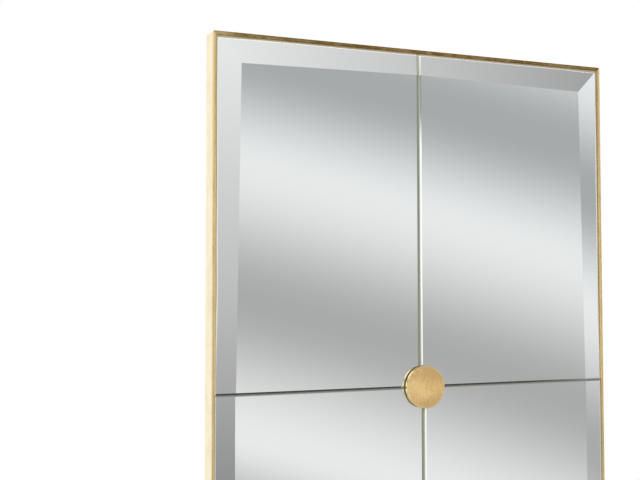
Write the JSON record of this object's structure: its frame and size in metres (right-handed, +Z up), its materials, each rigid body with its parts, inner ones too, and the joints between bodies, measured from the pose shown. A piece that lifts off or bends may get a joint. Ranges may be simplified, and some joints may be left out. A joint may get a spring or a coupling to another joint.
{
  "type": "wall mirror",
  "caption": "Upright wall mirror with bevelled panes in a thin gilded frame, pinned by a flat round rosette, with ring hangers behind.",
  "frame": {"origin": "middle of the wall plane that the four bumper faces lie in", "axes": "+X to the viewer's right, +Z up, +Y into the wall; the glass faces -Y"},
  "size_m": [0.764, 0.0476, 1.176],
  "materials": {
    "gilded_frame": "gold leaf over a reddish ground, toned and lightly worn",
    "gilded_disc": "brushed gold leaf",
    "mirror_glass": "silvered float glass, bevelled and polished",
    "foam_tape": "soft white foam",
    "board": "fibreboard, matt",
    "batten_wood": "planed softwood",
    "key_steel": "plain zinc plating",
    "clip_steel": "blued spring steel",
    "hanger_steel": "bright zinc plating",
    "screw_steel": "bright zinc plating",
    "felt": "dense dark felt",
    "bumper_rubber": "black rubber, satin"
  },
  "bodies": {
    "mirror": {"top_rail": "gilded_frame", "bottom_rail": "gilded_frame", "left_stile": "gilded_frame", "right_stile": "gilded_frame", "corner_key_top_left": "key_steel", "corner_key_top_right": "key_steel", "corner_key_bottom_left": "key_steel", "corner_key_bottom_right": "key_steel", "key_set_screws": "key_steel", "pane_top_left": "mirror_glass", "pane_top_right": "mirror_glass", "pane_bottom_left": "mirror_glass", "pane_bottom_right": "mirror_glass", "tape_top_left": "foam_tape", "tape_top_right": "foam_tape", "tape_bottom_left": "foam_tape", "tape_bottom_right": "foam_tape", "backing_board": "board", "left_batten": "batten_wood", "right_batten": "batten_wood", "batten_screws": "screw_steel", "hanger_screws": "screw_steel", "bumper_screws": "screw_steel", "rosette_stud": "screw_steel", "rosette_washer": "screw_steel", "rosette_nut": "screw_steel", "clips_top": "clip_steel", "clips_bottom": "clip_steel", "clips_left": "clip_steel", "clips_right": "clip_steel", "rosette": "gilded_disc", "rosette_pad": "felt", "hanger_strap_left": "hanger_steel", "hanger_strap_right": "hanger_steel", "bumper_top_left": "bumper_rubber", "bumper_top_right": "bumper_rubber", "bumper_bottom_left": "bumper_rubber", "bumper_bottom_right": "bumper_rubber"},
    "ring_left": {"hanger_ring_left": "hanger_steel"},
    "ring_right": {"hanger_ring_right": "hanger_steel"}
  },
  "joints": [
    {"name": "ring_left_swing", "type": "hinge", "parent": "mirror", "child": "ring_left", "pos_m": [-0.32, -0.00581, 0.293], "axis": [1, 0, 0], "range_deg": [0, 174.5]},
    {"name": "ring_right_swing", "type": "hinge", "parent": "mirror", "child": "ring_right", "pos_m": [0.32, -0.00581, 0.293], "axis": [1, 0, 0], "range_deg": [0, 174.5]}
  ]
}
